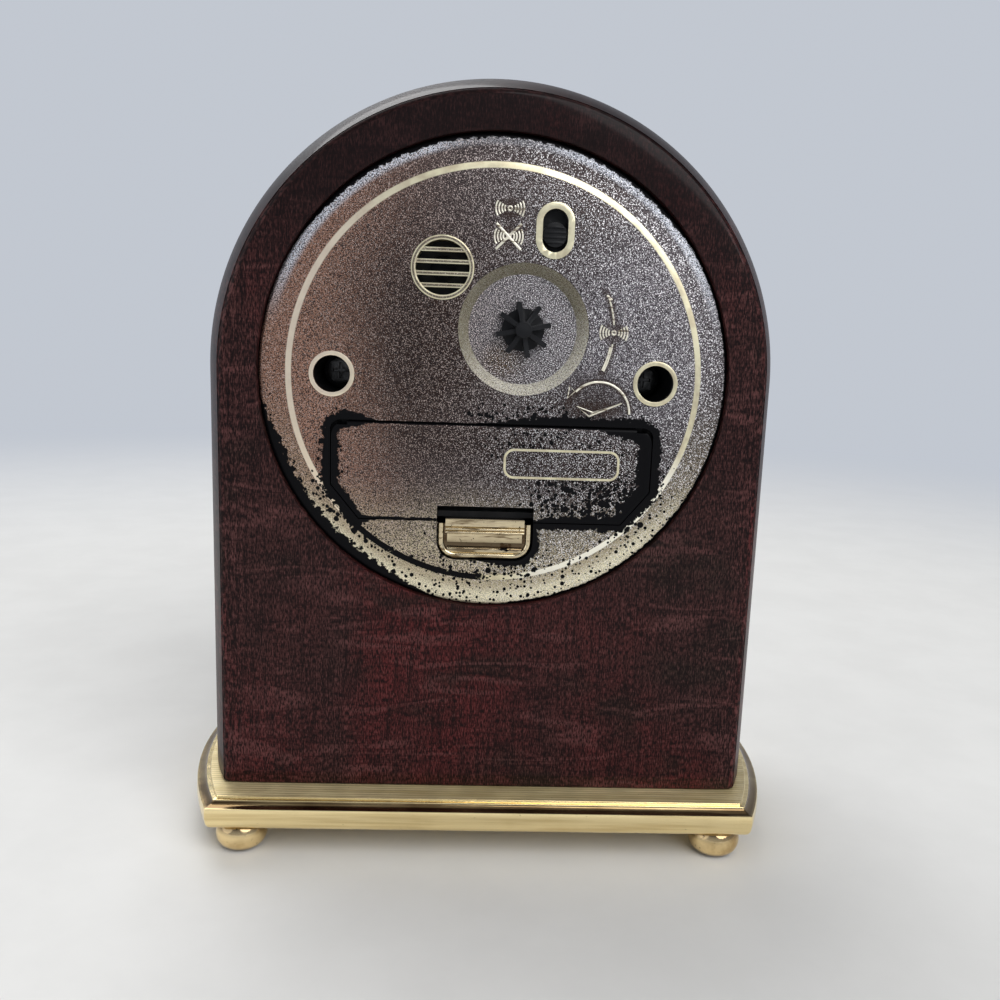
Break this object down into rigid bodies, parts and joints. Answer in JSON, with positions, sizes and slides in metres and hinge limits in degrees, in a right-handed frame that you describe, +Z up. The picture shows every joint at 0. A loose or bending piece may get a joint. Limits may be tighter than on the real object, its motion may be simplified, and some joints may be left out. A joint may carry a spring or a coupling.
{
  "type": "beehive shelf clock",
  "caption": "Arched shelf clock in lacquered wood on a footed brass base, with a round battery alarm insert, set knob, alarm switch and battery door at the back.",
  "frame": {"origin": "on the floor, under the middle of the case", "axes": "+Z up, -Y out of the dial, +Y out of the back cover, X across"},
  "size_m": [0.1222, 0.0662, 0.1519],
  "materials": {
    "lacquered_wood": "mahogany under clear high gloss lacquer",
    "polished_brass": "pale brass, brushed top field and polished edge",
    "antique_brass": "darkened brass with rubbed highlights",
    "bezel_brass": "polished and lacquered",
    "steel": "plain",
    "blackened_steel": "blackened",
    "clear_glass": "clear flat mineral glass",
    "ring_gold": "satin gold",
    "dial_ivory": "matte ivory",
    "dial_print": "black print",
    "black_plastic": "moulded, fine matte",
    "plated_plastic": "stippled champagne nickel plating, worn to black",
    "gilt_plastic": "smooth pale gold plating",
    "movement_plastic": "natural acetal",
    "wheel_plastic": "natural acetal, slightly glossy",
    "stator_steel": "soft iron sheet",
    "bobbin_plastic": "black nylon",
    "copper_wire": "enamelled copper",
    "board_laminate": "phenolic board",
    "contact_brass": "nickelled spring brass",
    "cell_jacket": "plain dark jacket",
    "hand_black": "gloss black",
    "hand_gold": "gilt",
    "magnet_ferrite": "ferrite with a plastic pinion"
  },
  "bodies": {
    "root": {"wood_case": "lacquered_wood", "brass_base": "polished_brass", "bun_feet": "antique_brass", "base_screws": "steel", "bezel": "bezel_brass", "lens": "clear_glass", "spacer_ring": "ring_gold", "dial": "dial_ivory", "minute_track": "dial_print", "dial_numerals": "dial_print", "insert_housing": "black_plastic", "back_cover": "plated_plastic", "cover_screws": "blackened_steel", "front_plate": "movement_plastic", "middle_plate": "movement_plastic", "back_plate": "movement_plastic", "plate_spacers": "movement_plastic", "movement_screws": "steel", "stator": "stator_steel", "coil_bobbin": "bobbin_plastic", "coil": "copper_wire", "circuit_board": "board_laminate", "quartz_crystal": "steel", "buzzer": "black_plastic", "buzzer_leads": "copper_wire", "switch_leaf": "contact_brass", "battery_tray": "black_plastic", "battery": "cell_jacket", "battery_contact": "contact_brass", "battery_spring": "steel"},
    "set_arbor": {"set_knob": "black_plastic", "set_wheel": "wheel_plastic"},
    "minute_arbor": {"cannon_pinion": "wheel_plastic", "minute_hand": "hand_black"},
    "hour_pipe": {"hour_wheel": "wheel_plastic", "hour_hand": "hand_black"},
    "alarm_pipe": {"alarm_wheel": "wheel_plastic", "alarm_hand": "hand_gold"},
    "second_arbor": {"second_wheel": "wheel_plastic", "second_hand": "hand_gold"},
    "centre_arbor": {"centre_wheel": "wheel_plastic"},
    "third_arbor": {"third_wheel": "wheel_plastic"},
    "fifth_arbor": {"fifth_wheel": "wheel_plastic"},
    "rotor_arbor": {"rotor": "magnet_ferrite"},
    "switch_slider": {"alarm_switch": "black_plastic"},
    "door": {"battery_door": "plated_plastic"},
    "latch": {"door_latch": "gilt_plastic"}
  },
  "joints": [
    {"name": "set_knob_turn", "type": "hinge", "parent": "root", "child": "set_arbor", "pos_m": [-0.00515, 0.0215, 0.10365], "axis": [0, 1, 0], "continuous": true},
    {"name": "minute_turn", "type": "hinge", "parent": "root", "child": "minute_arbor", "pos_m": [0, -0.0136, 0.0944], "axis": [0, 1, 0], "continuous": true},
    {"name": "hour_turn", "type": "hinge", "parent": "root", "child": "hour_pipe", "pos_m": [0, -0.0152, 0.0944], "axis": [0, 1, 0], "continuous": true},
    {"name": "alarm_turn", "type": "hinge", "parent": "root", "child": "alarm_pipe", "pos_m": [0, -0.0164, 0.0944], "axis": [0, 1, 0], "continuous": true},
    {"name": "second_turn", "type": "hinge", "parent": "root", "child": "second_arbor", "pos_m": [0, -0.008, 0.0944], "axis": [0, 1, 0], "continuous": true},
    {"name": "centre_turn", "type": "hinge", "parent": "root", "child": "centre_arbor", "pos_m": [0, -0.011, 0.0944], "axis": [0, 1, 0], "continuous": true},
    {"name": "third_turn", "type": "hinge", "parent": "root", "child": "third_arbor", "pos_m": [-0.00291, -0.0095, 0.08641], "axis": [0, 1, 0], "continuous": true},
    {"name": "fifth_turn", "type": "hinge", "parent": "root", "child": "fifth_arbor", "pos_m": [0.0086, -0.0066, 0.0944], "axis": [0, 1, 0], "continuous": true},
    {"name": "rotor_turn", "type": "hinge", "parent": "root", "child": "rotor_arbor", "pos_m": [0.01234, -0.0045, 0.08792], "axis": [0, 1, 0], "continuous": true},
    {"name": "alarm_switch_slide", "type": "slide", "parent": "root", "child": "switch_slider", "axis": [0, 0, 1], "range_m": [0, 0.0014]},
    {"name": "battery_door_hinge", "type": "hinge", "parent": "root", "child": "door", "pos_m": [0, 0.0237, 0.0849], "axis": [1, 0, 0], "range_deg": [0, 60]},
    {"name": "latch_slide", "type": "slide", "parent": "door", "child": "latch", "axis": [0, 0, 1], "range_m": [0, 0.0015], "stiffness_N_per_m": 300, "springref_m": -0.0005}
  ],
  "couplings": [
    {"joint": "minute_turn", "follows": "set_knob_turn", "ratio": -3},
    {"joint": "hour_turn", "follows": "set_knob_turn", "ratio": -0.25},
    {"joint": "third_turn", "follows": "second_turn", "ratio": -0.13333},
    {"joint": "centre_turn", "follows": "second_turn", "ratio": 0.016667},
    {"joint": "fifth_turn", "follows": "second_turn", "ratio": -4},
    {"joint": "rotor_turn", "follows": "second_turn", "ratio": 30}
  ]
}
